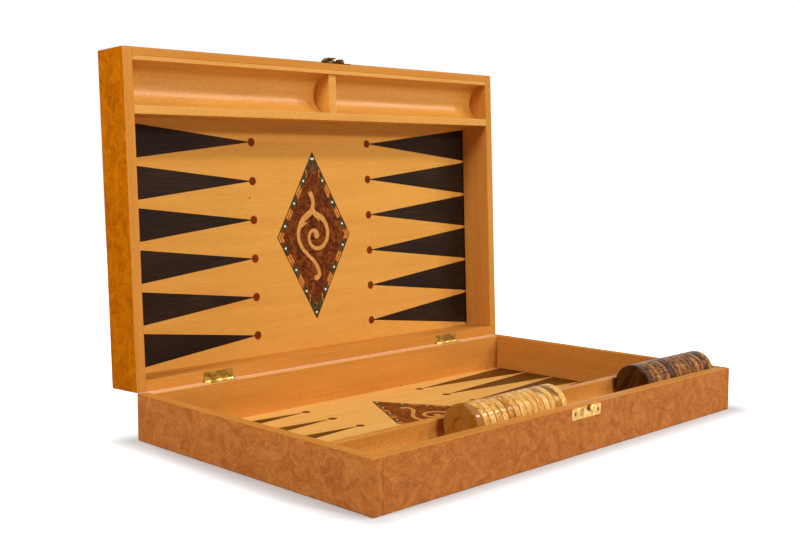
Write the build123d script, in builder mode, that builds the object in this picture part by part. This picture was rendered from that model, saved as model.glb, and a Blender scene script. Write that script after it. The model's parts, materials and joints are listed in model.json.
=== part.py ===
from build123d import *
import os
from math import hypot

os.makedirs("parts", exist_ok=True)

# Sizes are in millimetres. The origin is the centre of the underside of the lower half. X runs
# along the hinges, Y from the catch towards the hinges, and Z up.

# The case: two equal halves, each a shallow tray
case_width = 480.0
half_depth = 300.0
half_height = 41.5
side_rail_width = 9.7
front_rail_width = 7.5
back_rail_width = 10.0
base_thickness = 4.5
outer_round = 1.2
inner_round = 0.5
hinge_edge_round = 0.1

# How the halves stand to each other
open_angle = 92.17
rim_gap = 0.1
back_gap = 0.05

# Checker tray: a solid block with a round-bottomed trough
land_width = 4.0
trough_radius = 19.25
trough_wall = 4.75
lip_width = 7.7
lip_round = 0.6
divider_thickness = 10.0
divider_drop = 3.0
divider_fit = 0.05
divider_chamfer = 0.7

# Inlays in the playing field. The shifts are from the middle of the field, in X and Y when shut
inlay_thickness = 1.0
point_rows = 6
point_pitch = 38.2
point_base = 36.0
dot_radius = 4.2
dot_x = 77.3
medallion_half_width = 49.0
medallion_half_height = 86.7
lower_inlay_shift = (0.5, -2.6)
upper_inlay_shift = (-1.6, 0.0)

# Checkers, standing on edge in the trough
checkers_per_side = 15
checker_radius = 19.0
checker_thickness = 7.4
checker_pitch = 7.55
checker_round = 1.6
checker_end_gap = 0.15
checker_side_gap = 0.25
dish_radius = 8.4
dish_depth = 1.1
dish_slope = 1.2

# Butt hinges let into the rims
hinge_x = 154.0
leaf_length = 32.0
leaf_width = 9.0
leaf_thickness = 1.0
knuckle_count = 5
knuckle_radius = 1.6
knuckle_gap = 0.15
pin_radius = 0.75
pin_clearance = 0.05
pin_head_radius = 1.2
pin_head_length = 0.5
leaf_screw_spacing = 20.0
mortise_clearance = 0.15
barrel_clearance = 0.3

# Countersunk slotted screws
screw_head_radius = 1.85
screw_shank_radius = 1.0
screw_length = 6.0
screw_slot_width = 0.5
screw_slot_depth = 0.4
screw_clearance = 0.06

# Catch: a plate on the front of each half, a stud below and a turning hook above
plate_x = 4.1
plate_width = 39.8
plate_height = 9.6
plate_thickness = 1.2
plate_proud = 0.2
plate_drop = 1.3
plate_corner = 1.2
plate_screw_spacing = 31.8
stud_x = 8.5
stud_drop = 3.3
stud_neck_radius = 1.1
stud_neck_length = 1.9
stud_head_radius = 3.0
stud_head_length = 1.7
stud_head_round = 1.4
boss_x = 0.1
boss_drop = 5.0
boss_radius = 2.2
boss_height = 0.15
pivot_x = 12.3
pivot_drop = 5.6
pivot_radius = 1.2
pivot_clearance = 0.06
pivot_head_radius = 4.3
pivot_head_length = 2.4
hook_lift = 0.4
hook_thickness = 1.2
hook_boss_radius = 4.8
hook_arm_width = 5.2
hook_jaw_radius = 3.7
hook_slot_clearance = 0.3
hook_slot_sweep = 40
hook_tail_width = 3.6
hook_tail_length = 21.7
hook_tab_width = 4.4
hook_tab_height = 5.4
hook_tab_slant = 5.0
hook_tab_length = 14.4
hook_tab_bend = 0.7
hook_side_offset = 3.3
hook_side_thickness = 0.8

# Places worked out from the sizes above
inner_width = case_width - 2 * side_rail_width
back = half_depth / 2
front = -half_depth / 2
rim = half_height
field = base_thickness
field_depth = half_height - base_thickness
tray_front = front + front_rail_width
trough_y = tray_front + land_width + trough_radius
tray_back = trough_y + trough_radius + lip_width
field_middle = (back - back_rail_width + tray_back) / 2
hinge_y = back + back_gap / 2
hinge_z = rim + rim_gap / 2
knuckle_pitch = leaf_length / knuckle_count
barrel_edge = hinge_y - knuckle_radius - knuckle_gap
stud_middle = -rim_gap / 2 - stud_drop
pivot_middle = rim_gap / 2 + pivot_drop
front_face = Plane(origin=(0, front, hinge_z), x_dir=(1, 0, 0), z_dir=(0, -1, 0))
meeting_plane = Plane.XY.offset(hinge_z)
hinge_line = Location((0, hinge_y, hinge_z))
turn_open = Location((0, 0, 0), (-open_angle, 0, 0))
shut_position = Plane.XY
open_position = Plane(hinge_line * turn_open * hinge_line.inverse())
top_down = (Align.CENTER, Align.CENTER, Align.MAX)
bottom_up = (Align.CENTER, Align.CENTER, Align.MIN)


def write(piece, label, position=shut_position):
    """Set a finished piece in its position and write it."""
    with BuildPart(position) as placed:
        add(piece.part)
    placed.part.label = label
    export_step(placed.part, f"parts/{label}.step")


def write_upper(piece, label):
    """Turn a piece of the shut upper half up about the hinge line and write it."""
    write(piece, label, open_position)


def mirrored(piece):
    """The piece of the shut upper half that faces a piece of the lower half across the rims."""
    with BuildPart() as image:
        mirror(piece.part, about=meeting_plane)
    return image


def write_both_halves(piece, name):
    """Write a piece of the lower half and its mirror image in the upper half."""
    write(piece, f"lower_{name}")
    write_upper(mirrored(piece), f"upper_{name}")


def side_rail(side):
    """A rail on the left (-1) or right (1) that runs the whole depth and covers the corners."""
    with BuildPart() as rail:
        with Locations((side * (case_width - side_rail_width) / 2, 0, rim)):
            Box(side_rail_width, half_depth, half_height, align=top_down)
        outer_face = rail.faces().sort_by(Axis.X, reverse=side > 0)[0]
        hinge_edge = rail.faces().sort_by(Axis.Y)[-1].edges().filter_by(Axis.X).sort_by(Axis.Z)[-1]
        other_edges = rail.edges().filter_by(Axis.X).filter_by(lambda edge: edge != hinge_edge)
        fillet(outer_face.edges() + other_edges, outer_round)
        fillet(rail.faces().sort_by(Axis.Y)[-1].edges().sort_by(Axis.Z)[-1], hinge_edge_round)
        top_edges = rail.edges().filter_by(Axis.Y).group_by(Axis.Z)[-1]
        fillet(top_edges.sort_by(Axis.X, reverse=side > 0)[-1], inner_round)
    return rail


def leaf_screw_places():
    """The four screws of one half's hinge leaves, two in each leaf."""
    screw_y = (barrel_edge + hinge_y - leaf_width) / 2
    return [
        Location((side * hinge_x + end * leaf_screw_spacing / 2, screw_y, rim))
        for side in (-1, 1)
        for end in (-1, 1)
    ]


def plate_screw_places():
    """The two screws of the lower plate, seen from the front."""
    drop = rim_gap / 2 + plate_drop + plate_height / 2
    face = front_face.offset(plate_proud)
    return [
        face.location * Location((plate_x + end * plate_screw_spacing / 2, -drop, 0))
        for end in (-1, 1)
    ]


def back_rail():
    """The rail between the side rails that carries the hinges."""
    with BuildPart() as rail:
        with Locations((0, back - back_rail_width / 2, rim)):
            Box(inner_width, back_rail_width, half_height, align=top_down)
        lower_edge, hinge_edge = rail.faces().sort_by(Axis.Y)[-1].edges().filter_by(Axis.X).sort_by(Axis.Z)
        fillet(lower_edge, outer_round)
        fillet(hinge_edge, hinge_edge_round)
        fillet(rail.edges().filter_by(Axis.X).group_by(Axis.Z)[-1].sort_by(Axis.Y)[0], inner_round)
        mortise_length = leaf_length + 2 * mortise_clearance
        mortise_width = leaf_width + mortise_clearance
        barrel_length = leaf_length + 2 * (pin_head_length + barrel_clearance)
        for side in (-1, 1):
            with Locations((side * hinge_x, hinge_y - mortise_width / 2, rim)):
                mortise_depth = leaf_thickness + mortise_clearance
                Box(mortise_length, mortise_width, mortise_depth, align=top_down, mode=Mode.SUBTRACT)
            with Locations(Location((side * hinge_x, hinge_y, hinge_z), (0, 90, 0))):
                Cylinder(knuckle_radius + barrel_clearance, barrel_length, mode=Mode.SUBTRACT)
        with Locations(*leaf_screw_places()):
            Hole(screw_shank_radius + screw_clearance, screw_length + screw_clearance)
    return rail


def front_rail():
    """The rail at the catch, with a mortise for the plate that is open at the rim."""
    with BuildPart() as rail:
        with Locations((0, front + front_rail_width / 2, rim)):
            Box(inner_width, front_rail_width, half_height, align=top_down)
        fillet(rail.faces().sort_by(Axis.Y)[0].edges().filter_by(Axis.X), outer_round)
        fillet(rail.edges().filter_by(Axis.X).group_by(Axis.Z)[-1].sort_by(Axis.Y)[-1], inner_round)
        mortise_depth = plate_thickness - plate_proud
        with Locations((plate_x, front + mortise_depth / 2, rim)):
            Box(
                plate_width + 2 * mortise_clearance,
                mortise_depth,
                plate_drop + plate_height + mortise_clearance,
                align=top_down,
                mode=Mode.SUBTRACT,
            )
        with Locations(*plate_screw_places()):
            Hole(screw_shank_radius + screw_clearance, screw_length + screw_clearance)
    return rail


def dot_outlines(shift_x, shift_y):
    """The round dots at the tips of the points."""
    with BuildSketch(Plane.XY.offset(field)) as outlines:
        with Locations((shift_x, field_middle + shift_y)):
            with GridLocations(2 * dot_x, point_pitch, 2, point_rows):
                Circle(dot_radius)
    return outlines


def point_outlines(shift_x, shift_y):
    """The long triangles of both sides, from the side rails to the dots."""
    with BuildSketch(Plane.XY.offset(field)) as outlines:
        for side in (-1, 1):
            for row in range(point_rows):
                middle = field_middle + shift_y + (row - (point_rows - 1) / 2) * point_pitch
                wall_x = side * inner_width / 2
                with BuildLine():
                    Polyline(
                        (wall_x, middle - point_base / 2),
                        (shift_x + side * dot_x, middle),
                        (wall_x, middle + point_base / 2),
                        close=True,
                    )
                make_face()
        add(dot_outlines(shift_x, shift_y).sketch, mode=Mode.SUBTRACT)
    return outlines


def medallion_outline(shift_x, shift_y):
    """The tall diamond in the middle of the playing field."""
    with BuildSketch(Plane.XY.offset(field)) as outline:
        with Locations((shift_x, field_middle + shift_y)):
            Polygon(
                (medallion_half_width, 0),
                (0, medallion_half_height),
                (-medallion_half_width, 0),
                (0, -medallion_half_height),
            )
    return outline


def inlay(outline):
    """A thin inlay that lies flush in the playing field."""
    with BuildPart() as piece:
        add(outline.sketch)
        extrude(amount=-inlay_thickness)
    return piece


def base_panel(outlines):
    """The floor of one half, with a pocket for every inlay."""
    panel_depth = half_depth - front_rail_width - back_rail_width
    with BuildPart() as panel:
        with Locations((0, tray_front + panel_depth / 2, 0)):
            Box(inner_width, panel_depth, base_thickness, align=bottom_up)
        for outline in outlines:
            add(outline.sketch)
        extrude(amount=-inlay_thickness, mode=Mode.SUBTRACT)
    return panel


def inlaid_field(shift_x, shift_y):
    """The base panel of one half and its inlays, by name."""
    points = point_outlines(shift_x, shift_y)
    dots = dot_outlines(shift_x, shift_y)
    medallion = medallion_outline(shift_x, shift_y)
    return {
        "base_panel": base_panel((points, dots, medallion)),
        "points": inlay(points),
        "point_dots": inlay(dots),
        "medallion": inlay(medallion),
    }


def checker_tray():
    """The block that fills the catch side from rail to rail, with the trough along it."""
    with BuildPart() as tray:
        with BuildSketch(Plane.YZ):
            with Locations(((tray_front + tray_back) / 2, rim)):
                Rectangle(tray_back - tray_front, field_depth, align=(Align.CENTER, Align.MAX))
            with Locations((trough_y, rim - trough_wall)):
                Circle(trough_radius, mode=Mode.SUBTRACT)
                Rectangle(
                    2 * trough_radius,
                    trough_wall,
                    align=(Align.CENTER, Align.MIN),
                    mode=Mode.SUBTRACT,
                )
        extrude(amount=inner_width / 2, both=True)
        fillet(tray.edges().filter_by(Axis.X).group_by(Axis.Z)[-1], lip_round)
    return tray


def tray_divider():
    """The wall that parts the trough into two."""
    radius = trough_radius - divider_fit
    with BuildPart() as divider:
        with BuildSketch(Plane.YZ):
            with Locations((trough_y, rim - trough_wall)):
                Circle(radius)
                Rectangle(2 * radius, trough_wall, align=(Align.CENTER, Align.MIN))
            with Locations((trough_y, rim - divider_drop)):
                Rectangle(2 * radius, radius, align=(Align.CENTER, Align.MIN), mode=Mode.SUBTRACT)
        extrude(amount=divider_thickness / 2, both=True)
        chamfer(divider.faces().sort_by(Axis.Z)[-1].edges().filter_by(Axis.Y), divider_chamfer)
    return divider


def checker():
    """A turned disc with a dish in each face, centred on the origin with its axle along X."""
    face_x = checker_thickness / 2
    floor_x = face_x - dish_depth
    with BuildPart() as disc:
        with BuildSketch() as section:
            with BuildLine():
                Polyline(
                    (-floor_x, 0),
                    (-floor_x, dish_radius - dish_slope),
                    (-face_x, dish_radius),
                    (-face_x, checker_radius),
                    (face_x, checker_radius),
                    (face_x, dish_radius),
                    (floor_x, dish_radius - dish_slope),
                    (floor_x, 0),
                    close=True,
                )
            make_face()
            fillet(section.vertices().group_by(Axis.Y)[-1], checker_round)
        revolve(axis=Axis.X)
    return disc


def hinge_leaf(side, knuckles):
    """The lower leaf of one hinge. knuckles are its places along the barrel, from the left."""
    with BuildPart() as leaf:
        plate_back = hinge_y - leaf_width
        with Locations((side * hinge_x, (barrel_edge + plate_back) / 2, rim)):
            Box(leaf_length, barrel_edge - plate_back, leaf_thickness, align=top_down)
        for knuckle in knuckles:
            knuckle_x = side * hinge_x + (knuckle - (knuckle_count - 1) / 2) * knuckle_pitch
            knuckle_length = knuckle_pitch - knuckle_gap
            with Locations((knuckle_x, (hinge_y + barrel_edge) / 2, rim)):
                Box(knuckle_length, hinge_y - barrel_edge, leaf_thickness, align=top_down)
            with Locations(Location((knuckle_x, hinge_y, hinge_z), (0, 90, 0))):
                Cylinder(knuckle_radius, knuckle_length)
        with Locations(Location((side * hinge_x, hinge_y, hinge_z), (0, 90, 0))):
            Cylinder(pin_radius + pin_clearance, 2 * leaf_length, mode=Mode.SUBTRACT)
        with Locations(*[place for place in leaf_screw_places() if place.position.X * side > 0]):
            CounterSinkHole(
                screw_shank_radius + screw_clearance,
                screw_head_radius + screw_clearance,
                leaf_thickness,
            )
    return leaf


def hinge_pins():
    """Both hinge pins, headed over at their ends."""
    head_x = (leaf_length + pin_head_length) / 2
    with BuildPart() as pins:
        for side in (-1, 1):
            with Locations(Location((side * hinge_x, hinge_y, hinge_z), (0, 90, 0))):
                Cylinder(pin_radius, leaf_length + pin_head_length)
            for end in (-1, 1):
                head_place = (side * hinge_x + end * head_x, hinge_y, hinge_z)
                with Locations(Location(head_place, (0, 90, 0))):
                    Cylinder(pin_head_radius, pin_head_length)
    return pins


def screw():
    """A countersunk slotted screw, its head flush with the origin and its shank down."""
    cone = screw_head_radius - screw_shank_radius
    with BuildPart() as body:
        with BuildSketch(Plane.XZ):
            with BuildLine():
                Polyline(
                    (0, 0),
                    (screw_head_radius, 0),
                    (screw_shank_radius, -cone),
                    (screw_shank_radius, screw_shank_radius - screw_length),
                    (0, -screw_length),
                    close=True,
                )
            make_face()
        revolve(axis=Axis.Z)
        Box(
            2 * screw_head_radius,
            screw_slot_width,
            2 * screw_slot_depth,
            mode=Mode.SUBTRACT,
        )
    return body


def half_screws():
    """All the screws of the lower half: its hinge leaves' and its plate's."""
    one_screw = screw()
    with BuildPart() as screws:
        with Locations(*leaf_screw_places(), *plate_screw_places()):
            add(one_screw.part)
    return screws


def front_plate(direction):
    """A plate on the front, below the rims (-1) or above them (1), with its screw holes."""
    middle = direction * (rim_gap / 2 + plate_drop + plate_height / 2)
    face = front_face.offset(plate_proud)
    with BuildPart() as plate:
        with BuildSketch(face):
            with Locations((plate_x, middle)):
                RectangleRounded(plate_width, plate_height, plate_corner)
        extrude(amount=-plate_thickness)
        for end in (-1, 1):
            hole = Location((plate_x + end * plate_screw_spacing / 2, middle, 0))
            with Locations(face.location * hole):
                CounterSinkHole(
                    screw_shank_radius + screw_clearance,
                    screw_head_radius + screw_clearance,
                    plate_thickness,
                )
    return plate


def lock_plate():
    """The lower plate, with its riveted stud for the hook and a low round boss beside it."""
    face = front_face.offset(plate_proud)
    with BuildPart() as plate:
        add(front_plate(-1).part)
        with BuildSketch(face):
            with Locations((stud_x, stud_middle)):
                Circle(stud_neck_radius)
        extrude(amount=stud_neck_length)
        with BuildSketch(face.offset(stud_neck_length)):
            with Locations((stud_x, stud_middle)):
                Circle(stud_head_radius)
        extrude(amount=stud_head_length)
        fillet(plate.faces().sort_by(Axis.Y)[0].edges(), stud_head_round)
        with BuildSketch(face):
            with Locations((boss_x, -(rim_gap / 2 + boss_drop))):
                Circle(boss_radius)
        extrude(amount=boss_height)
    return plate


def catch_plate():
    """The upper plate, with the rivet that the hook turns on."""
    face = front_face.offset(plate_proud)
    head_lift = hook_lift + hook_thickness + pivot_clearance
    with BuildPart() as plate:
        add(front_plate(1).part)
        with BuildSketch(face):
            with Locations((pivot_x, pivot_middle)):
                Circle(pivot_radius)
        extrude(amount=head_lift)
        with BuildSketch(face):
            with Locations((pivot_x, pivot_middle)):
                Circle(pivot_head_radius)
        extrude(amount=hook_lift - pivot_clearance)
        with BuildSketch(face.offset(head_lift)):
            with Locations((pivot_x, pivot_middle)):
                Circle(pivot_head_radius)
        extrude(amount=pivot_head_length)
        fillet(plate.faces().sort_by(Axis.Y)[0].edges(), pivot_head_length / 2)
    return plate


def catch_hook():
    """The hook turned aside to the left, its slot open towards the rims.

    The tail curls back into a thumb piece, whose closed side stands away from the rims.
    """
    reach = hypot(pivot_x - stud_x, pivot_middle - stud_middle)
    slot_path = CenterArc((pivot_x, pivot_middle), reach, 180, hook_slot_sweep)
    lift = plate_proud + hook_lift
    tail_x = pivot_x - hook_tail_length
    tail_y = front - lift - hook_thickness / 2
    tab_y = front - hook_tab_height + hook_thickness / 2
    with BuildPart() as hook:
        with BuildSketch(front_face.offset(lift)):
            with Locations((pivot_x, pivot_middle)):
                Circle(hook_boss_radius)
                Rectangle(reach, hook_arm_width, align=(Align.MAX, Align.CENTER))
                Rectangle(
                    hook_tail_length - hook_tab_slant,
                    hook_tail_width,
                    align=(Align.MAX, Align.CENTER),
                )
            with Locations((pivot_x - reach, pivot_middle)):
                Circle(hook_jaw_radius)
            SlotArc(slot_path, 2 * (stud_neck_radius + hook_slot_clearance), mode=Mode.SUBTRACT)
            with Locations((pivot_x, pivot_middle)):
                Circle(pivot_radius + pivot_clearance, mode=Mode.SUBTRACT)
        extrude(amount=hook_thickness)
        tab_bottom = hinge_z + pivot_middle - hook_tab_width / 2
        side_bottom = hinge_z + pivot_middle + hook_side_offset
        with BuildSketch(Plane.XY.offset(tab_bottom)):
            with BuildLine():
                FilletPolyline(
                    (tail_x + hook_tab_slant, tail_y),
                    (tail_x, tail_y),
                    (tail_x + hook_tab_slant, tab_y),
                    (tail_x + hook_tab_length, tab_y),
                    radius=hook_tab_bend,
                )
            trace(line_width=hook_thickness)
        extrude(amount=side_bottom + hook_side_thickness - tab_bottom)
        with BuildSketch(Plane.XY.offset(side_bottom)):
            with BuildLine():
                Polyline(
                    (tail_x + hook_tab_slant / 2, tail_y),
                    (tail_x + hook_tab_slant / 2, (tail_y + tab_y) / 2),
                    (tail_x + hook_tab_slant, tab_y),
                    (tail_x + hook_tab_length, tab_y),
                    (pivot_x - hook_side_offset, (tail_y + tab_y) / 2),
                    (pivot_x - hook_side_offset, tail_y),
                    close=True,
                )
            make_face()
        extrude(amount=hook_side_thickness)
    return hook


# Both halves of the case
write_both_halves(side_rail(-1), "left_rail")
write_both_halves(side_rail(1), "right_rail")
write_both_halves(back_rail(), "back_rail")
write_both_halves(front_rail(), "front_rail")
for name, piece in inlaid_field(*lower_inlay_shift).items():
    write(piece, f"lower_{name}")
for name, piece in inlaid_field(*upper_inlay_shift).items():
    write_upper(mirrored(piece), f"upper_{name}")
write_both_halves(checker_tray(), "checker_tray")
write_both_halves(tray_divider(), "tray_divider")
write_both_halves(half_screws(), "screws")

# Hinges: the lower leaf holds the odd knuckles and the upper leaf the even ones
for side, side_name in ((-1, "left"), (1, "right")):
    write(hinge_leaf(side, (0, 2, 4)), f"{side_name}_hinge_lower_leaf")
    write_upper(mirrored(hinge_leaf(side, (1, 3))), f"{side_name}_hinge_upper_leaf")
write(hinge_pins(), "hinge_pins")

# Catch
write(lock_plate(), "lock_plate")
write_upper(catch_plate(), "catch_plate")
write_upper(catch_hook(), "catch_hook")

# Checkers: the light ones against the divider, the dark ones against the right rail
one_checker = checker()
checker_z = rim - trough_wall - checker_radius + trough_radius - checker_side_gap
row_starts = {"light": -divider_thickness / 2, "dark": inner_width / 2}
for colour, row_start in row_starts.items():
    for number in range(checkers_per_side):
        checker_x = row_start - checker_end_gap - checker_thickness / 2 - number * checker_pitch
        place = Plane(origin=(checker_x, trough_y, checker_z))
        write(one_checker, f"{colour}_checker_{number + 1:02d}", place)
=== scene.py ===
"""Finishes a folding wooden backgammon board: veneers, inlays, brass and lacquered checkers.

Every piece stands in the row's own frame, in metres. The two halves of the case mirror each other
across their rims, so what belongs to a half is laid out once, in that half's own places: x along the
hinges, u away from the hinges, and h up out of the rim.
"""

import json
import math

import bmesh
import bpy
from mathutils import Matrix, Vector


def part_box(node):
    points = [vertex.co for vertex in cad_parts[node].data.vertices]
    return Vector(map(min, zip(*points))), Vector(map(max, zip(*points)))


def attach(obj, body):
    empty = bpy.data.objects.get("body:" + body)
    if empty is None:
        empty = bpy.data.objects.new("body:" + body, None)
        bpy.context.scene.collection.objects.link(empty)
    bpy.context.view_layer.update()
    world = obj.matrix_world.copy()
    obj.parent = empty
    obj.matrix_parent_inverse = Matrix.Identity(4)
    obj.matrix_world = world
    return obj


bl_info = {
    "name": "Backgammon Board Finish",
    "version": (1, 0, 0),
    "blender": (4, 5, 0),
    "location": "View3D > Sidebar > Backgammon",
    "description": "Veneers, inlays, brass and checkers for a folding backgammon board",
    "category": "Object",
}

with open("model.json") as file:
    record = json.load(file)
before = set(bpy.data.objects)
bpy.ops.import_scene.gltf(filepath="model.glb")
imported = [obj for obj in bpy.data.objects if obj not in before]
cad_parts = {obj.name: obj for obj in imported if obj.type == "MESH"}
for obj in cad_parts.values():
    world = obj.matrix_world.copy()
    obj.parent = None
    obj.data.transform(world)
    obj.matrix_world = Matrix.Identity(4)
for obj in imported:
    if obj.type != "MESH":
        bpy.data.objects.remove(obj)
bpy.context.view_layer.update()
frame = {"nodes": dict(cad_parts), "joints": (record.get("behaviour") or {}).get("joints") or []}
MM = 0.001

# The case, read from the frame
fold_joint = next(joint for joint in frame["joints"] if joint["name"] == "board_fold")
HINGE_LINE = Vector(fold_joint["pos_m"])
OPEN_ANGLE = math.radians(-fold_joint["range_deg"][0])
CASE_LOW, CASE_HIGH = (
    Vector(pick(corner) for corner in zip(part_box("lower_left_rail")[end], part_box("lower_right_rail")[end]))
    for end, pick in ((0, min), (1, max))
)
HALF_WIDTH = CASE_HIGH.x / MM
HALF_DEPTH = (CASE_HIGH.y - CASE_LOW.y) / MM
HALF_HEIGHT = CASE_HIGH.z / MM
FIELD_DROP = (CASE_HIGH.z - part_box("lower_points")[1].z) / MM
CHECKER_LOW, CHECKER_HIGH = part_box("light_checker_01")
CHECKER_MIDDLE = (CHECKER_LOW + CHECKER_HIGH) / 2
CHECKER_PITCH = (CHECKER_LOW.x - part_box("light_checker_02")[0].x) / MM


class Half:
    """One half of the case: where its own places x, u and h lie in the row's frame."""

    def __init__(self, name, origin, away, up):
        self.name = name
        self.body = name + "_half"
        self.origin = origin
        self.away = away
        self.up = up
        low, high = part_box(name + "_medallion")
        middle = (low + high) / 2 - origin
        self.middle = (middle.x / MM, middle.dot(away) / MM)

    def point(self, x, u, h):
        """The row's point for a place in this half, given in millimetres."""
        return self.origin + (Vector((x, 0, 0)) + self.away * u + self.up * h) * MM


turn_open = Matrix.Rotation(-OPEN_ANGLE, 3, "X")
shut_origin = Vector((0, CASE_HIGH.y, 2 * HINGE_LINE.z - CASE_HIGH.z))
LOWER = Half("lower", Vector((0, CASE_HIGH.y, CASE_HIGH.z)), Vector((0, -1, 0)), Vector((0, 0, 1)))
UPPER = Half(
    "upper",
    turn_open @ (shut_origin - HINGE_LINE) + HINGE_LINE,
    turn_open @ Vector((0, -1, 0)),
    turn_open @ Vector((0, 0, -1)),
)
HALVES = (LOWER, UPPER)


class Wire:
    """An output socket in a material's nodes. Arithmetic on it adds Math nodes."""

    def __init__(self, tree, socket=None):
        self.tree = tree
        self.socket = socket

    def node(self, kind, settings=None, inputs=None, output=0):
        """Add a node of any kind: its settings first, then its sockets' values or links."""
        made = self.tree.nodes.new("ShaderNode" + kind)
        for name, value in (settings or {}).items():
            if name == "stops":
                for extra in range(len(value) - 2):
                    made.color_ramp.elements.new(0.5)
                for element, (place, colour) in zip(made.color_ramp.elements, value):
                    element.position = place
                    element.color = (*colour, 1)
            else:
                setattr(made, name, value)
        for name, value in (inputs or {}).items():
            if isinstance(value, Wire):
                self.tree.links.new(value.socket, made.inputs[name])
            else:
                made.inputs[name].default_value = value
        return Wire(self.tree, made.outputs[output] if made.outputs else None)

    def math(self, operation, *others):
        return self.node("Math", {"operation": operation}, dict(enumerate((self, *others))))

    def mix(self, other, factor):
        """This colour mixed with another one by a factor. The node's colour sockets are known by number."""
        return self.node("Mix", {"data_type": "RGBA"}, {0: factor, 6: self, 7: other}, output=2)

    def vector(self, operation, *others, output=0):
        return self.node("VectorMath", {"operation": operation}, dict(enumerate((self, *others))), output)

    def step(self, low, high):
        """0 below low, 1 above high and smooth between."""
        settings = {"interpolation_type": "SMOOTHSTEP"}
        return self.node("MapRange", settings, {"Value": self, "From Min": low, "From Max": high})

    def noise(self, scale, detail=2.0, roughness=0.5):
        """Noise on this vector, from about 0.3 to 0.7."""
        inputs = {"Vector": self, "Scale": scale, "Detail": detail, "Roughness": roughness}
        return self.node("TexNoise", {}, inputs)

    def ramp(self, *stops):
        return self.node("ValToRGB", {"stops": stops}, {"Fac": self})

    def __add__(self, other):
        return self.math("ADD", other)

    def __sub__(self, other):
        return self.math("SUBTRACT", other)

    def __rsub__(self, other):
        return self * -1 + other

    def __mul__(self, other):
        return self.math("MULTIPLY", other)

    __radd__ = __add__
    __rmul__ = __mul__


def srgb(red, green, blue):
    """A colour given as it looks on a screen, 0 to 255, as a linear one."""
    levels = (level / 255 for level in (red, green, blue))
    return tuple(c / 12.92 if c <= 0.04045 else ((c + 0.055) / 1.055) ** 2.4 for c in levels)


def opaque(colour):
    return (*colour, 1.0)


def new_material(name, build, **constants):
    """A material with one Principled shader. build returns the sockets that vary over the surface."""
    made = bpy.data.materials.new(name)
    made.use_nodes = True
    shader = made.node_tree.nodes["Principled BSDF"]
    for socket, value in constants.items():
        shader.inputs[socket.replace("_", " ")].default_value = value
    for socket, wire in build(Wire(made.node_tree)).items():
        made.node_tree.links.new(wire.socket, shader.inputs[socket])
    return made


def row_place(start):
    """The place on the surface in the row's frame, in metres."""
    return start.node("TexCoord", output="Object")


def along(place, origin, direction):
    """How far a place lies from an origin along a direction, in millimetres."""
    offset = place.vector("SUBTRACT", tuple(origin))
    return offset.vector("DOT_PRODUCT", tuple(direction), output="Value") * (1 / MM)


def half_place(start, half):
    """The places x, u and depth below the rim on the surface of a half, in millimetres."""
    place = row_place(start)
    x = along(place, half.origin, (1, 0, 0))
    u = along(place, half.origin, half.away)
    depth = along(place, half.origin, -half.up)
    return x, u, depth


def joined(x, y, z):
    """Three values as one vector."""
    return x.node("CombineXYZ", {}, {0: x, 1: y, 2: z})


def bump(height, distance):
    """A surface normal from a height, where a full step of it is as high as the distance, in metres."""
    return height.node("Bump", {}, {"Height": height, "Distance": distance})


# How thick the veneer counts as seen from its edge, and how soft that edge is, in millimetres
VENEER = 0.4
EDGE_BLUR = 0.1

# How far down from the rim its face counts, in millimetres
RIM_SKIN = 0.2

# Tones from light to dark, by half where the halves differ, and for the pearl from green to rose. The halves'
# field, tray and wenge are the same woods, and how much lighter one half's tones are is painted light
BEECH = (srgb(222, 151, 69), srgb(212, 140, 60), srgb(199, 127, 50))
# The upper tray's paler, more golden tones are painted light on the same beech as the lower tray
TRAY = {
    "lower": (srgb(222, 152, 70), srgb(214, 142, 60), srgb(200, 128, 50)),
    "upper": (srgb(232, 166, 76), srgb(224, 157, 66), srgb(213, 145, 56)),
}
# The lower field's paler tones are painted light on its upward face
FIELD = {
    "lower": (srgb(243, 188, 108), srgb(238, 181, 96), srgb(229, 169, 82)),
    "upper": (srgb(232, 168, 80), srgb(227, 161, 73), srgb(218, 150, 65)),
}
BURL = {
    "lower": (srgb(204, 128, 64), srgb(190, 113, 51), srgb(170, 96, 46)),
    "upper": (srgb(202, 116, 12), srgb(187, 101, 6), srgb(164, 84, 4)),
}
# The lower points' much paler tones are painted light on their upward face
WENGE = {
    "lower": (srgb(132, 82, 20), srgb(106, 62, 12), srgb(80, 42, 6)),
    "upper": (srgb(60, 38, 22), srgb(38, 22, 10), srgb(26, 14, 5)),
}
ROSEWOOD = {
    "lower": (srgb(120, 64, 20), srgb(92, 44, 10)),
    "upper": (srgb(136, 58, 10), srgb(98, 32, 2)),
}
MEDALLION = {
    "lower": (srgb(152, 84, 32), srgb(122, 60, 20), srgb(80, 36, 12)),
    "upper": (srgb(146, 78, 24), srgb(104, 46, 10), srgb(54, 20, 5)),
}
MOSAIC = {
    "lower": {
        "edge_line": (srgb(104, 70, 34), srgb(82, 52, 24)),
        "mosaic_dark": (srgb(116, 78, 40), srgb(74, 46, 20)),
        "mosaic_tan": (srgb(206, 138, 70), srgb(170, 102, 44)),
        "mosaic_rust": (srgb(154, 84, 34), srgb(128, 66, 24)),
    },
    "upper": {
        "edge_line": (srgb(70, 46, 22), srgb(44, 28, 12)),
        "mosaic_dark": (srgb(98, 84, 50), srgb(34, 30, 14)),
        "mosaic_tan": (srgb(226, 150, 70), srgb(180, 106, 38)),
        "mosaic_rust": (srgb(160, 80, 28), srgb(120, 56, 16)),
    },
}

PEARL = (srgb(222, 236, 224), srgb(250, 250, 246), srgb(244, 228, 226))

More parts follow.
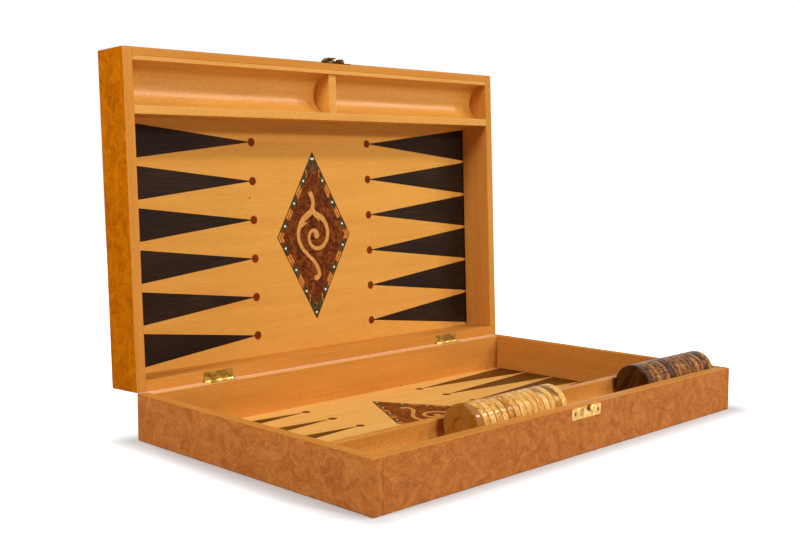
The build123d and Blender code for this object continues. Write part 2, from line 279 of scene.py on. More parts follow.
# Checkers: the wood, its streaks, and the painted shade on the last one in the row, whose face lies in shade
CHECKERS = {
    "light": {
        "wood": (srgb(246, 202, 122), srgb(222, 158, 68), srgb(168, 100, 22)),
        "streak": srgb(104, 50, 6),
        "last": srgb(152, 84, 2),
    },
    "dark": {
        "wood": (srgb(196, 132, 60), srgb(104, 54, 12), srgb(34, 13, 2)),
        "streak": srgb(24, 10, 4),
        "last": srgb(54, 20, 4),
    },
}
ROW_LENGTH = sum(node.startswith("light_checker") for node in frame["nodes"])

# Gloss of the trough blocks, and how far the lower back rail's rim is paled by a painted sheen, a painted
# highlight on its face
TRAY_GLOSS = {"lower": 0.06, "upper": 0.3}
RIM_PAINTED_SHEEN = srgb(248, 198, 130)
RIM_SHEEN_SHARE = {"lower": 0.7, "upper": 0.0}

# Knots: the places x, u and depth of each, and where it is full and where it has faded, in millimetres
KNOT = srgb(126, 66, 24)
WALL_KNOTS = {"lower": [(73.0, 10.0, 36.7)], "upper": []}
FIELD_KNOTS = {"lower": [], "upper": [(-83.0, 167.3, FIELD_DROP)]}
KNOT_RADII = (0.6, 1.7)

# Brass: the bright and the dull tone, and the roughness
BRASS = {
    "brass_polished": (srgb(232, 196, 124), srgb(204, 162, 90), 0.34),
    "brass_hinge": (srgb(230, 200, 128), srgb(196, 160, 88), 0.36),
    # The upper hinge leaves: the same brass as the lower leaves, its darker tones painted shade
    "brass_dull": (srgb(184, 144, 68), srgb(138, 100, 38), 0.4),
    "brass_worn": (srgb(166, 128, 62), srgb(120, 86, 36), 0.4),
    "bronze": (srgb(120, 84, 42), srgb(64, 38, 16), 0.24),
}

# Painted shade and dirt on the lower plate: darker round the foot of the stud, which stands in from the
# plate's right end and down from its top, and in a darker round patch left of it. It is full in its core, gone
# at its radius, and lies on the plate's face but not on what stands out of it. All in millimetres
SHADE_AND_GRIME = srgb(70, 46, 18)
STUD_INSET = 15.5
STUD_DROP = 3.0
DARK_PATCH_OFFSET = 11.0
DARKENING_CORE = 2.0
DARKENING_RADIUS = 4.0
PLATE_SKIN = 0.5


def beech(x, u, depth, grain_x, colours, fleck):
    """Beech: soft bands along the grain, fine lines and the short flecks of its rays."""
    light, middle, dark = colours
    run, cross = (x, u) if grain_x else (u, x)
    bands = joined(run * 0.005, cross * 0.06, depth * 0.05).noise(1.0, 2.0)
    lines = joined(run * 0.012, cross * 1.1, depth * 0.9).noise(1.0, 2.0, 0.6)
    threads = joined(run * 0.05, cross * 3.2, depth * 2.6).noise(1.0, 1.0)
    dashes = joined(run * 0.22, cross * 1.5, depth * 1.5).noise(1.0, 1.0)
    flecks = joined(run * 0.55, cross * 1.9, depth * 1.9).noise(1.0, 0.0).step(0.68, 0.76)
    tone = bands * 0.3 + lines * 0.25 + threads * 0.2 + dashes * 0.25
    colour = tone.ramp((0.38, dark), (0.5, middle), (0.62, light))
    colour = colour.mix(opaque(tuple(level * 0.5 for level in dark)), flecks * fleck)
    return colour, lines * 0.5 + flecks * -0.3


def burl(x, u, depth, colours, size):
    """Burl veneer: fibres that fan out this way and that, in patches, with fine mottling."""
    light, middle, dark = colours
    place = joined(x, u, depth)
    waves = {"Vector": place, "Scale": 0.045 / size, "Detail": 2.0}
    bend = place.node("TexNoise", {}, waves, output="Color")
    swirl = bend.vector("MULTIPLY_ADD", (40 * size, 40 * size, 40 * size), place)
    patches = swirl.vector("MULTIPLY", (0.09 / size, 0.05 / size, 0.09 / size)).noise(1.0, 3.0, 0.6)
    fibres = swirl.vector("MULTIPLY", (0.2 / size, 0.13 / size, 0.26 / size)).noise(1.0, 3.0, 0.55)
    mottling = place.noise(0.5 / size, 2.0, 0.6)
    tone = patches * 0.4 + fibres * 0.35 + mottling * 0.25
    return tone.ramp((0.4, dark), (0.5, middle), (0.6, light)), tone


def outside(x, u, depth):
    """1 on the outside of the case, 0 on its rims and inside."""
    sides = (HALF_WIDTH - x.math("ABSOLUTE")).math("MINIMUM", u)
    ends = (HALF_DEPTH - u).math("MINIMUM", HALF_HEIGHT - depth)
    return 1 - sides.math("MINIMUM", ends).step(VENEER - EDGE_BLUR, VENEER + EDGE_BLUR)


def knot(x, u, depth, place):
    """1 in a small knot at a place, fading to 0 round it."""
    offset = joined(x, u, depth).vector("SUBTRACT", place)
    return 1 - offset.vector("LENGTH", output="Value").step(*KNOT_RADII)


def case_material(half, kind, grain_x, colours, fleck, knots=(), rough=0.42, specular=0.03, rim=0.0):
    """Beech inside and burl veneer outside.

    grain_x tells grain along the hinges from grain away from them, fleck is the strength of the wood's
    short dark flecks, and rim is how far a painted highlight pales the rim.
    """

    def build(start):
        x, u, depth = half_place(start, half)
        wood, relief = beech(x, u, depth, grain_x, colours, fleck)
        for place in knots:
            wood = wood.mix(opaque(KNOT), knot(x, u, depth, place) * 0.75)
        if rim:
            # Painted highlight: the rim's face is paled towards the sheen colour by the share rim
            wood = wood.mix(opaque(RIM_PAINTED_SHEEN), depth.math("LESS_THAN", RIM_SKIN) * rim)
        veneer = burl(x, u, depth, BURL[half.name], 1.0)[0]
        colour = wood.mix(veneer, outside(x, u, depth))
        return {"Base Color": colour, "Roughness": rough + relief * 0.1, "Normal": bump(relief, 0.04 * MM)}

    return new_material(f"{kind}_{half.name}", build, Specular_IOR_Level=specular)


def wenge_material(half):
    """Very dark wood with fine streaks along the points."""

    def build(start):
        x, u, depth = half_place(start, half)
        streaks = joined(x * 0.03, u * 1.1, depth).noise(1.0, 3.0, 0.6)
        clouds = joined(x * 0.01, u * 0.03, depth).noise(1.0, 1.0)
        tone = streaks * 0.7 + clouds * 0.3
        light, middle, dark = WENGE[half.name]
        colour = tone.ramp((0.36, dark), (0.5, middle), (0.66, light))
        return {"Base Color": colour, "Roughness": 0.5 + streaks * 0.12, "Normal": bump(streaks, 0.03 * MM)}

    return new_material(f"wenge_{half.name}", build, Specular_IOR_Level=0.08)


def rosewood_material(half):
    """The reddish wood of the dots."""

    def build(start):
        x, u, depth = half_place(start, half)
        streaks = joined(x * 0.1, u * 0.9, depth).noise(1.0, 2.0, 0.6)
        light, dark = ROSEWOOD[half.name]
        colour = streaks.ramp((0.35, dark), (0.65, light))
        return {"Base Color": colour, "Roughness": 0.4 + streaks * 0.1}

    return new_material(f"rosewood_{half.name}", build, Specular_IOR_Level=0.05)


def medallion_material(half):
    """Dark reddish burl, patchy and streaked along the medallion."""

    def build(start):
        x, u, depth = half_place(start, half)
        colour, tone = burl(x, u, depth, MEDALLION[half.name], 0.6)
        return {"Base Color": colour, "Roughness": 0.4 + tone * 0.1, "Normal": bump(tone, 0.03 * MM)}

    return new_material(f"medallion_{half.name}", build, Specular_IOR_Level=0.06)


def plain_wood(name, half, light, dark, fine):
    """A small inlay's wood: two tones, the more finely mottled the higher fine is."""

    def build(start):
        x, u, depth = half_place(start, half)
        mottle = joined(x * fine, u * fine * 0.4, depth).noise(1.0, 2.0, 0.6)
        colour = mottle.ramp((0.4, dark), (0.6, light))
        return {"Base Color": colour, "Roughness": 0.4 + mottle * 0.12}

    return new_material(f"{name}_{half.name}", build, Specular_IOR_Level=0.06)


def checker_material(name, row_start, tones):
    """Turned and lacquered wood. Each checker is cut from its own place in the plank.

    The last checker of the row, whose face shows, is darkened all over with painted shade for its shaded face.
    """
    light, middle, dark = tones["wood"]

    def build(start):
        place = row_place(start)
        x = (row_start - along(place, (0, 0, 0), (1, 0, 0))) * (1 / CHECKER_PITCH)
        number = x.math("FLOOR")
        chance = number.node("TexWhiteNoise", {"noise_dimensions": "1D"}, {"W": number + 3.0})
        turn = chance * math.tau
        side = along(place, CHECKER_MIDDLE, (0, 1, 0))
        height = along(place, CHECKER_MIDDLE, (0, 0, 1))
        cosine, sine = turn.math("COSINE"), turn.math("SINE")
        run = side * cosine + height * sine
        cross = height * cosine - side * sine
        layer = x * 6.0 + chance * 40.0
        grain = joined(run * 0.05, cross * 0.55, layer * 0.55).noise(1.0, 3.0, 0.6)
        rings = joined(run * 0.02, cross * 0.13, layer * 0.12).noise(1.0, 2.0, 0.5)
        heart = joined(run * 0.015, cross * 0.06, layer * 0.06).noise(1.0, 1.0).step(0.6, 0.68)
        tone = grain * 0.5 + rings * 0.35 + chance * 0.15
        colour = tone.ramp((0.36, dark), (0.48, middle), (0.62, light))
        colour = colour.mix(opaque(tones["streak"]), heart * 0.75)
        # Painted shade: the last checker of the row is darkened towards its shade tone
        colour = colour.mix(opaque(tones["last"]), number.math("GREATER_THAN", ROW_LENGTH - 1.5) * 0.85)
        return {"Base Color": colour, "Roughness": 0.3 + grain * 0.12, "Normal": bump(grain, 0.03 * MM)}

    lacquer = {"Coat_Roughness": 0.14, "Coat_IOR": 1.35, "Coat_Weight": 0.4}
    return new_material(name, build, Specular_IOR_Level=0.03, **lacquer)


def brass_material(name, shade_and_dirt=()):
    """Brass with faint handling marks and duller patches, darkened by a share round each place of painted
    shade and dirt.
    """
    bright, dull, rough = BRASS[name]

    def build(start):
        place = row_place(start)
        patches = place.noise(160.0, 2.0, 0.5)
        scratches = place.vector("MULTIPLY", (300.0, 4000.0, 4000.0)).noise(1.0, 2.0)
        wear = patches.step(0.42, 0.62)
        colour = wear.ramp((0.0, dull), (1.0, bright))
        for middle, share in shade_and_dirt:
            across, forth, tall = (along(place, middle, way) for way in ((1, 0, 0), (0, 1, 0), (0, 0, 1)))
            square = across.math("POWER", 2.0) + tall.math("POWER", 2.0)
            ring = 1 - square.step(DARKENING_CORE**2, DARKENING_RADIUS**2)
            face = forth.step(-PLATE_SKIN - EDGE_BLUR, -PLATE_SKIN + EDGE_BLUR)
            # Painted shade and dirt round the stud's foot, and a darker patch, on the plate's face only
            colour = colour.mix(opaque(SHADE_AND_GRIME), ring * face * share)
        roughness = rough + (1 - wear) * 0.18 + scratches * 0.08
        return {"Base Color": colour, "Roughness": roughness, "Normal": bump(scratches, 0.01 * MM)}

    return new_material(name, build, Metallic=1.0)


def pearl_material(half):
    """Mother of pearl, white with a faint green and rose cast."""

    def build(start):
        x, u, depth = half_place(start, half)
        cast = joined(x, u, depth).noise(0.8, 1.0)
        green, white, rose = PEARL
        colour = cast.ramp((0.35, green), (0.5, white), (0.65, rose))
        return {"Base Color": colour, "Roughness": 0.18 + cast * 0.1}

    return new_material(f"pearl_{half.name}", build, Specular_IOR_Level=0.7)


def dress(node, material):
    """Give a node of the frame its material."""
    data = frame["nodes"][node].data
    data.materials.clear()
    data.materials.append(material)


def add_inlay(name, shapes, half, materials):
    """One mesh of flat closed shapes let into the field of a half and standing a little proud of it.

    shapes are (outline, height, material index), each outline a list of (x, u) places and each height
    how far the shape stands proud, in millimetres.
    """
    mesh = bpy.data.meshes.new(name)
    work = bmesh.new()
    for outline, proud, index in shapes:
        top = [work.verts.new(half.point(x, u, proud - FIELD_DROP)) for x, u in outline]
        bottom = [work.verts.new(half.point(x, u, -SUNK - FIELD_DROP)) for x, u in outline]
        faces = [work.faces.new(top), work.faces.new(bottom[::-1])]
        for here in range(len(outline)):
            after = (here + 1) % len(outline)
            faces.append(work.faces.new((top[here], bottom[here], bottom[after], top[after])))
        for face in faces:
            face.material_index = index
    bmesh.ops.recalc_face_normals(work, faces=work.faces)
    work.to_mesh(mesh)
    work.free()
    piece = bpy.data.objects.new(name, mesh)
    bpy.context.scene.collection.objects.link(piece)
    for material in materials:
        mesh.materials.append(material)
    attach(piece, half.body)


# The medallion's half sizes and the directions of its four sides
MEDALLION_LOW, MEDALLION_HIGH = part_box("lower_medallion")
RHOMB_X = (MEDALLION_HIGH.x - MEDALLION_LOW.x) / 2 / MM
RHOMB_U = (MEDALLION_HIGH.y - MEDALLION_LOW.y) / 2 / MM
SIDE_LENGTH = math.hypot(RHOMB_X, RHOMB_U)
QUARTERS = ((1, 1), (-1, 1), (-1, -1), (1, -1))

# How deep the inlays go and how far each kind stands proud, in millimetres
SUNK = 0.25
BAND_PROUD = 0.03
BLOCK_PROUD = 0.05
PEARL_PROUD = 0.09
SCROLL_PROUD = 0.04
STROKE_RISE = 0.01

# The mosaic along a side, in pearl spacings from a tip: the tip's dark block, the half length of the
# dark block under a pearl, and where the tan blocks between the pearls start and end
TIP_END = 0.6
DARK_HALF = 0.2
FIRST_TAN_START = 0.62
TAN_START = 0.28
TAN_END = 0.7

# The tan blocks across the band, in shares of its width, and the rust stripe in them, in millimetres
TAN_NEAR = 0.16
TAN_FAR = 0.94
RUST_HALF = 0.4

PEARL_SIDES = 20


def inside_rhomb(inset):
    """Half sizes of the medallion's outline, drawn in by an even distance."""
    shrink = 1 - inset * SIDE_LENGTH / (RHOMB_X * RHOMB_U)
    return RHOMB_X * shrink, RHOMB_U * shrink


def on_side(half, quarter, share, inset):
    """A place on one of the medallion's four sides, share of the way from its tip to its corner."""
    across, tall = inside_rhomb(inset)
    side, end = quarter
    return half.middle[0] + side * across * share, half.middle[1] + end * tall * (1 - share)


def side_strip(half, quarter, low, high, near, far):
    """The outline of a strip along a side, between two shares of its length and two insets."""
    places = ((low, near), (high, near), (high, far), (low, far))
    return [on_side(half, quarter, share, inset) for share, inset in places]


class BoardSettings(bpy.types.PropertyGroup):
    """Sizes of the inlays on the medallions, and the scroll's colour."""

    band_width: bpy.props.FloatProperty(
        name="Band Width", description="Width of the mosaic band", default=6.6 * MM,
        unit="LENGTH"
    )
    line_width: bpy.props.FloatProperty(
        name="Line Width", description="Width of the dark line round the medallion", default=0.8 * MM,
        unit="LENGTH"
    )
    pearl_radius: bpy.props.FloatProperty(
        name="Pearl Radius", description="Radius of the pearl dots", default=1.2 * MM,
        unit="LENGTH"
    )
    pearl_inset: bpy.props.FloatProperty(
        name="Pearl Inset", description="From the medallion's edge to the pearls", default=3.6 * MM,
        unit="LENGTH"
    )
    pearl_gaps: bpy.props.FloatProperty(
        name="Pearl Spacings", description="Pearl spacings from a tip to a side corner", default=3.5
    )
    scroll_colour: bpy.props.FloatVectorProperty(
        name="Scroll Colour", description="Colour of the scroll's wood", default=srgb(224, 157, 82),
        size=3, subtype="COLOR"
    )


class StageSettings(bpy.types.PropertyGroup):
    """Camera and light."""

    lens: bpy.props.FloatProperty(
        name="Lens", description="Focal length of the camera in millimetres", default=49.85
    )
    front_power: bpy.props.FloatProperty(
        name="Front Light", description="Power of the low light in front", default=29.5,
        subtype="POWER"
    )
    soft_power: bpy.props.FloatProperty(
        name="Soft Light", description="Power of the light high up on the right", default=74.0,
        subtype="POWER"
    )
    right_power: bpy.props.FloatProperty(
        name="Right Light", description="Power of the lower light further to the right", default=25.0,
        subtype="POWER"
    )
    left_power: bpy.props.FloatProperty(
        name="Left Light", description="Power of the near light on the left", default=8.5,
        subtype="POWER"
    )
    back_power: bpy.props.FloatProperty(
        name="Back Light", description="Power of the light behind the case", default=30.0,
        subtype="POWER"
    )
    sky_level: bpy.props.FloatProperty(
        name="Surrounding Light", description="Level of the even light all round", default=0.05, min=0.0
    )
    # The floor glows less beside the case, a painted shadow round it
    paper_glow: bpy.props.FloatProperty(
        name="Paper Glow", description="How much the floor glows beside the case", default=0.2, min=0.0
    )


class BOARD_OT_case(bpy.types.Operator):
    """Beech and burl veneer on the case"""

    bl_idname = "board.case"
    bl_label = "Finish Case"

    def execute(self, context):
        for half in HALVES:
            side = case_material(half, "side_rail", False, BEECH, 0.3, specular=0.0)
            front = case_material(half, "front_rail", True, BEECH, 0.3)
            # The lower back rail's rim gets a painted highlight
            shine = RIM_SHEEN_SHARE[half.name]
            back = case_material(half, "back_rail", True, BEECH, 0.3, WALL_KNOTS[half.name], rim=shine)
            field = case_material(half, "field", True, FIELD[half.name], 0.12, FIELD_KNOTS[half.name])
            gloss = TRAY_GLOSS[half.name]
            tray = case_material(half, "tray", True, TRAY[half.name], 0.7, rough=0.36, specular=gloss)
            finishes = {
                "left_rail": side,
                "right_rail": side,
                "front_rail": front,
                "back_rail": back,
                "base_panel": field,
                "checker_tray": tray,
                "tray_divider": tray,
            }
            for name, material in finishes.items():
                dress(f"{half.name}_{name}", material)
        return {"FINISHED"}


class BOARD_OT_points(bpy.types.Operator):
    """Dark points and reddish dots"""

    bl_idname = "board.points"
    bl_label = "Finish Points"

    def execute(self, context):
        for half in HALVES:
            dress(f"{half.name}_points", wenge_material(half))
            dress(f"{half.name}_point_dots", rosewood_material(half))
        return {"FINISHED"}


class BOARD_OT_medallions(bpy.types.Operator):
    """Burl medallions, each with a mosaic band, pearls and a scroll"""

    bl_idname = "board.medallions"
    bl_label = "Lay Medallions"

    def execute(self, context):
        settings = context.scene.board_settings
        for half in HALVES:
            dress(f"{half.name}_medallion", medallion_material(half))
            self.lay_band(half, settings)
            self.lay_pearls(half, settings)
            self.lay_scroll(half, settings)
        return {"FINISHED"}

    def lay_band(self, half, settings):
        """A dark line round the edge, dark mosaic under the pearls and tan blocks between them."""
        line = settings.line_width / MM
        width = settings.band_width / MM
        gaps = settings.pearl_gaps
        near, far = TAN_NEAR * width, TAN_FAR * width
        middle = (near + far) / 2
        edges = (near, middle - RUST_HALF, middle + RUST_HALF, far)
        stripes = tuple(zip(edges, edges[1:], (2, 3, 2)))
        woods = [plain_wood(name, half, *tones, 0.8) for name, tones in MOSAIC[half.name].items()]
        shapes = []
        for quarter in QUARTERS:
            shapes.append((side_strip(half, quarter, 0, 1, 0, line), BAND_PROUD, 0))
            shapes.append((side_strip(half, quarter, 0, TIP_END / gaps, line, width), BAND_PROUD, 1))
            for number in range(1, int(gaps) + 1):
                low, high = (number - DARK_HALF) / gaps, (number + DARK_HALF) / gaps
                shapes.append((side_strip(half, quarter, low, high, line, width), BAND_PROUD, 1))
            for number in range(int(gaps) + 1):
                low = (number + TAN_START if number else FIRST_TAN_START) / gaps
                high = min((number + TAN_END) / gaps, 1.0)
                for first, last, wood in stripes:
                    shapes.append((side_strip(half, quarter, low, high, first, last), BLOCK_PROUD, wood))
        add_inlay(f"{half.name}_mosaic_band", shapes, half, woods)

    def lay_pearls(self, half, settings):
        """Pearl dots along the middle of the band, two of them side by side at the far tip."""
        radius = settings.pearl_radius / MM
        inset = settings.pearl_inset / MM
        places = set()
        for quarter in QUARTERS:
            for number in range(int(settings.pearl_gaps) + 1):
                x, u = on_side(half, quarter, number / settings.pearl_gaps, inset)
                places.add((round(x, 4), round(u, 4)))
        far_tip = max(places, key=lambda place: place[1])
        places.remove(far_tip)
        places |= {(far_tip[0] + side * radius, far_tip[1]) for side in (-1, 1)}
        turns = [math.tau * step / PEARL_SIDES for step in range(PEARL_SIDES)]
        circle = [(radius * math.cos(turn), radius * math.sin(turn)) for turn in turns]
        shapes = [([(x + dx, u + du) for dx, du in circle], PEARL_PROUD, 0) for x, u in sorted(places)]
        add_inlay(f"{half.name}_pearls", shapes, half, [pearl_material(half)])

    def lay_scroll(self, half, settings):
        """A branching scroll: a stem that forks into a tail and a spiral."""
        light = tuple(settings.scroll_colour)
        wood = plain_wood("scroll_wood", half, light, tuple(level * 0.8 for level in light), 0.4)
        shapes = [
            (ribbon(stroke, half.middle), SCROLL_PROUD + STROKE_RISE * number, 0)
            for number, stroke in enumerate((STEM, TAIL, SPIRAL, LEAF, BUD, SPUR))
        ]
        add_inlay(f"{half.name}_scroll", shapes, half, [wood])


# The scroll's strokes: places x and u from the medallion's middle in millimetres, and the half width there
STEM = ((-3.9, 43.4, 2.7), (-2.2, 40.8, 2.6), (-0.7, 36.3, 2.2), (-0.8, 31.8, 2.2), (-2.5, 27.0, 2.6))
TAIL = (
    (-1.6, 28.9, 2.1),
    (-3.9, 24.8, 3.0),
    (-10.4, 20.4, 3.1),
    (-16.2, 15.4, 2.8),
    (-19.9, 8.9, 2.3),
    (-21.4, 2.3, 2.0),
    (-20.5, -4.5, 2.0),
    (-17.4, -10.8, 2.0),
    (-12.6, -16.4, 1.9),
    (-6.7, -21.7, 1.9),
    (-1.1, -26.8, 2.0),
    (3.0, -32.8, 2.1),
    (5.0, -38.4, 2.1),
    (4.4, -42.3, 2.3),
    (0.9, -43.7, 2.9),
)
SPIRAL = (
    (-2.5, 26.8, 2.2),
    (2.5, 22.3, 3.1),
    (9.5, 19.0, 2.8),
    (14.8, 13.5, 2.4),
    (17.8, 6.1, 2.1),
    (17.6, -1.6, 2.1),
    (14.0, -8.5, 2.1),
    (7.6, -12.8, 2.0),
    (0.7, -12.8, 2.0),
    (-5.0, -9.0, 1.8),
    (-7.3, -3.2, 1.8),
    (-6.4, 2.3, 1.8),
    (-2.5, 5.3, 1.9),
    (1.8, 4.2, 2.7),
    (3.0, 0.4, 3.6),
)
LEAF = ((-16.8, 10.8, 1.8), (-13.0, 12.9, 1.4), (-9.2, 13.8, 0.4))
BUD = ((2.4, 21.0, 2.2), (5.3, 18.3, 1.5), (6.6, 14.9, 0.4))
SPUR = ((-2.5, 25.3, 1.8), (0.0, 26.8, 1.2), (2.3, 23.8, 0.5))

# Places added along a stroke between two given ones, and straight pieces round each of its ends
SMOOTH_STEPS = 6
CAP_STEPS = 6


def smooth(stroke):
    """More places along a stroke, on a curve that passes through all of them."""
    points = [Vector(place) for place in stroke]
    ends = [2 * points[0] - points[1], *points, 2 * points[-1] - points[-2]]
    curve = []
    for before, here, after, beyond in zip(ends, ends[1:], ends[2:], ends[3:]):
        for step in range(SMOOTH_STEPS):
            t = step / SMOOTH_STEPS
            pull = (after - before) * t + (2 * before - 5 * here + 4 * after - beyond) * t**2
            curve.append(here + (pull + (3 * here - before - 3 * after + beyond) * t**3) / 2)
    return [*curve, points[-1]]


def ribbon(stroke, middle):
    """The outline of a stroke of changing width, with round ends, about a middle in a half's places."""
    curve = smooth(stroke)
    left, right = [], []
    for number, place in enumerate(curve):
        before, after = curve[max(number - 1, 0)], curve[min(number + 1, len(curve) - 1)]
        heading = (after - before).xy.normalized()
        side = Vector((-heading.y, heading.x)) * place.z
        left.append(place.xy + side)
        right.append(place.xy - side)

    def cap(place, heading):
        turns = (math.pi / 2 - math.pi * step / CAP_STEPS for step in range(1, CAP_STEPS))
        return [place.xy + Matrix.Rotation(turn, 2) @ heading * place.z for turn in turns]

    ends = (curve[-1] - curve[-2]).xy.normalized(), (curve[0] - curve[1]).xy.normalized()
    outline = left + cap(curve[-1], ends[0]) + right[::-1] + cap(curve[0], ends[1])
    return [tuple(place + Vector(middle)) for place in outline]


class BOARD_OT_brass(bpy.types.Operator):
    """Brass hinges, plates, hook and screws"""

    bl_idname = "board.brass"
    bl_label = "Finish Brass"

    def execute(self, context):
        low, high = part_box("lock_plate")
        # The plate is darkened with painted shade and dirt round the stud, and in a darker patch left of it
        stud = Vector((high.x - STUD_INSET * MM, CASE_LOW.y, high.z - STUD_DROP * MM))
        dark_patch = Vector((stud.x - DARK_PATCH_OFFSET * MM, CASE_LOW.y, (low.z + high.z) / 2))
        dress("lock_plate", brass_material("brass_polished", [(stud, 0.85), (dark_patch, 0.4)]))
        finishes = {
            "brass_hinge": ("left_hinge_lower_leaf", "right_hinge_lower_leaf"),
            "brass_dull": ("left_hinge_upper_leaf", "right_hinge_upper_leaf"),
            # The upper leaves' darker brass is painted shade
            "brass_worn": ("lower_screws", "upper_screws", "hinge_pins"),
            "bronze": ("catch_plate", "catch_hook"),
        }
        for name, nodes in finishes.items():
            material = brass_material(name)
            for node in nodes:
                dress(node, material)
        return {"FINISHED"}


class BOARD_OT_checkers(bpy.types.Operator):
    """Lacquered checkers, light and dark"""

    bl_idname = "board.checkers"
    bl_label = "Finish Checkers"

    def execute(self, context):
        for colour, tones in CHECKERS.items():
            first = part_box(f"{colour}_checker_01")[1].x / MM
            material = checker_material(f"{colour}_checker_wood", first, tones)
            for node in frame["nodes"]:
                if node.startswith(f"{colour}_checker"):
                    dress(node, material)
        return {"FINISHED"}


# The camera, fitted to the corners of the case: its place in metres, its tilt and turn in degrees, its
# sensor's width in millimetres and how far it sees, in metres
CAMERA_PLACE = (-0.74357, -0.68663, 0.24206)
CAMERA_PITCH = 84.622
CAMERA_TURN = -44.608
SENSOR_WIDTH = 36.0
CLIP_END = 100.0

# The round lamps: the place and the diameter of each, in metres, and what they all face
LAMPS = {
    "front": ((0.42, -2.28, 1.25), 0.35),
    "soft": ((2.4, -2.86, 3.68), 0.6),
    "right": ((2.3, -1.5, 2.0), 0.35),
    "left": ((-1.2, -0.02, 0.63), 0.25),
    "back": ((-0.1, 2.4, 1.1), 0.5),
}
LAMP_AIM = Vector((0, 0.1, 0.15))

# The floor: its half size, how far it lies under the case, its grey, and how far from the case the
# first and the second half of its glow have risen, in metres. The lower glow beside the case paints a shadow
# round it
FLOOR_HALF = 4.0
FLOOR_GAP = 0.0002
FLOOR_GREY = 0.6
NEAR_GLOW = 0.03
FULL_GLOW = 0.12


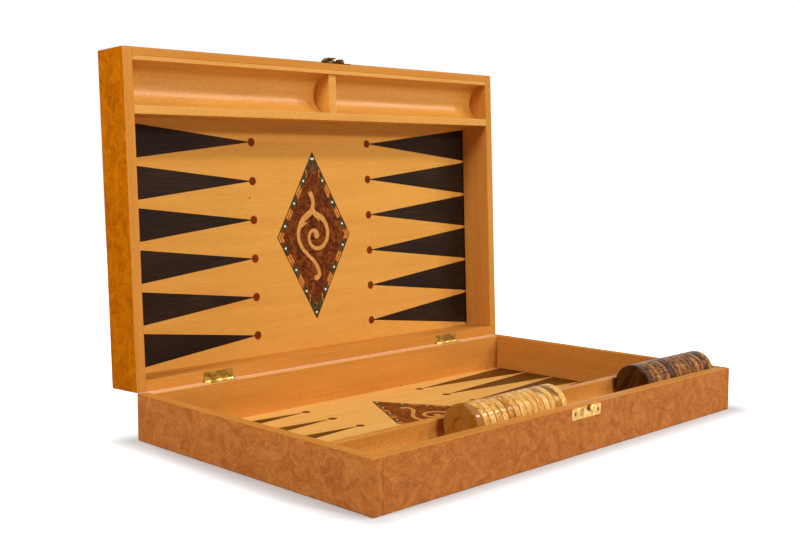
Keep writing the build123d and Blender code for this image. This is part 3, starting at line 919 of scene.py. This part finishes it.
class BOARD_OT_stage(bpy.types.Operator):
    """Camera, lights, pale floor and white surroundings"""

    bl_idname = "board.stage"
    bl_label = "Set Stage"

    def execute(self, context):
        settings = context.scene.stage_settings
        self.place_camera(context, settings)
        self.place_floor(context)
        for name, (place, size) in LAMPS.items():
            self.place_light(context, name, place, size, getattr(settings, f"{name}_power"))
        self.light_surroundings(context, settings)
        context.scene.view_settings.view_transform = "Standard"
        return {"FINISHED"}

    def place_camera(self, context, settings):
        data = bpy.data.cameras.new("camera")
        data.lens = settings.lens
        data.sensor_width = SENSOR_WIDTH
        data.clip_end = CLIP_END
        camera = bpy.data.objects.new("camera", data)
        camera.location = CAMERA_PLACE
        camera.rotation_euler = (math.radians(CAMERA_PITCH), 0, math.radians(CAMERA_TURN))
        context.scene.collection.objects.link(camera)
        context.scene.camera = camera

    def place_light(self, context, name, place, size, power):
        """A round area light that faces the middle of the open case."""
        data = bpy.data.lights.new(name, "AREA")
        data.shape = "DISK"
        data.size = size
        data.energy = power
        light = bpy.data.objects.new(name, data)
        light.location = place
        facing = LAMP_AIM - Vector(place)
        light.rotation_euler = facing.to_track_quat("-Z", "Y").to_euler()
        context.scene.collection.objects.link(light)

    def place_floor(self, context):
        mesh = bpy.data.meshes.new("floor")
        corners = [(x * FLOOR_HALF, y * FLOOR_HALF, 0) for x, y in ((-1, -1), (1, -1), (1, 1), (-1, 1))]
        mesh.from_pydata(corners, [], [(0, 1, 2, 3)])
        floor = bpy.data.objects.new("floor", mesh)
        floor.location.z = -FLOOR_GAP
        context.scene.collection.objects.link(floor)
        mesh.materials.append(self.floor_material(context.scene.stage_settings))

    def floor_material(self, settings):
        """White paper that glows for the camera and in reflections, more so away from the case: the dimmer
        glow beside the case is a painted shadow.
        """
        made = bpy.data.materials.new("floor")
        made.use_nodes = True
        tree = made.node_tree
        tree.nodes.clear()
        start = Wire(tree)
        seen = seen_share(start)
        beyond = row_place(start).vector("ABSOLUTE").vector("SUBTRACT", (CASE_HIGH.x, CASE_HIGH.y, 0))
        distance = beyond.vector("MAXIMUM", (0, 0, 0)).vector("LENGTH", output="Value")
        # Painted shadow: the glow is lowest at the case and rises away from it
        away = (distance.step(0.0, NEAR_GLOW) + distance.step(0.0, FULL_GLOW)) * 0.5
        glow = settings.paper_glow + away * (1 - settings.paper_glow)
        paper = start.node("BsdfDiffuse", {}, {"Color": (FLOOR_GREY, FLOOR_GREY, FLOOR_GREY, 1)})
        light = start.node("Emission", {}, {"Color": (1, 1, 1, 1), "Strength": seen * glow})
        both = start.node("AddShader", {}, {0: paper, 1: light})
        start.node("OutputMaterial", {}, {"Surface": both})
        return made

    def light_surroundings(self, context, settings):
        world = bpy.data.worlds.new("surroundings")
        world.use_nodes = True
        tree = world.node_tree
        tree.nodes.clear()
        start = Wire(tree)
        seen = seen_share(start)
        strength = seen * (1 - settings.sky_level) + settings.sky_level
        light = start.node("Background", {}, {"Color": (1, 1, 1, 1), "Strength": strength})
        start.node("OutputWorld", {}, {"Surface": light})
        context.scene.world = world


def seen_share(start):
    """1 for what the camera sees directly, in a reflection or through glass, and 0 for light."""
    rays = ("Is Camera Ray", "Is Glossy Ray", "Is Transmission Ray")
    camera, glossy, through = (start.node("LightPath", output=ray) for ray in rays)
    return (camera + glossy + through).math("MINIMUM", 1.0)


class BOARD_PT_panel(bpy.types.Panel):
    """Backgammon board finish"""

    bl_idname = "BOARD_PT_panel"
    bl_label = "Backgammon Board"
    bl_space_type = "VIEW_3D"
    bl_region_type = "UI"
    bl_category = "Backgammon"

    def draw(self, context):
        layout = self.layout
        for settings in (context.scene.board_settings, context.scene.stage_settings):
            for name in settings.__annotations__:
                layout.prop(settings, name)
        for operator in OPERATORS:
            layout.operator(operator.bl_idname)


OPERATORS = (
    BOARD_OT_stage,
    BOARD_OT_case,
    BOARD_OT_points,
    BOARD_OT_medallions,
    BOARD_OT_brass,
    BOARD_OT_checkers,
)
CLASSES = (BoardSettings, StageSettings, *OPERATORS, BOARD_PT_panel)


def register():
    for cls in CLASSES:
        bpy.utils.register_class(cls)
    bpy.types.Scene.board_settings = bpy.props.PointerProperty(type=BoardSettings)
    bpy.types.Scene.stage_settings = bpy.props.PointerProperty(type=StageSettings)


def unregister():
    del bpy.types.Scene.stage_settings
    del bpy.types.Scene.board_settings
    for cls in reversed(CLASSES):
        bpy.utils.unregister_class(cls)


def main():
    register()
    for operator in OPERATORS:
        group, name = operator.bl_idname.split(".")
        getattr(getattr(bpy.ops, group), name)()


if __name__ == "__main__":
    main()
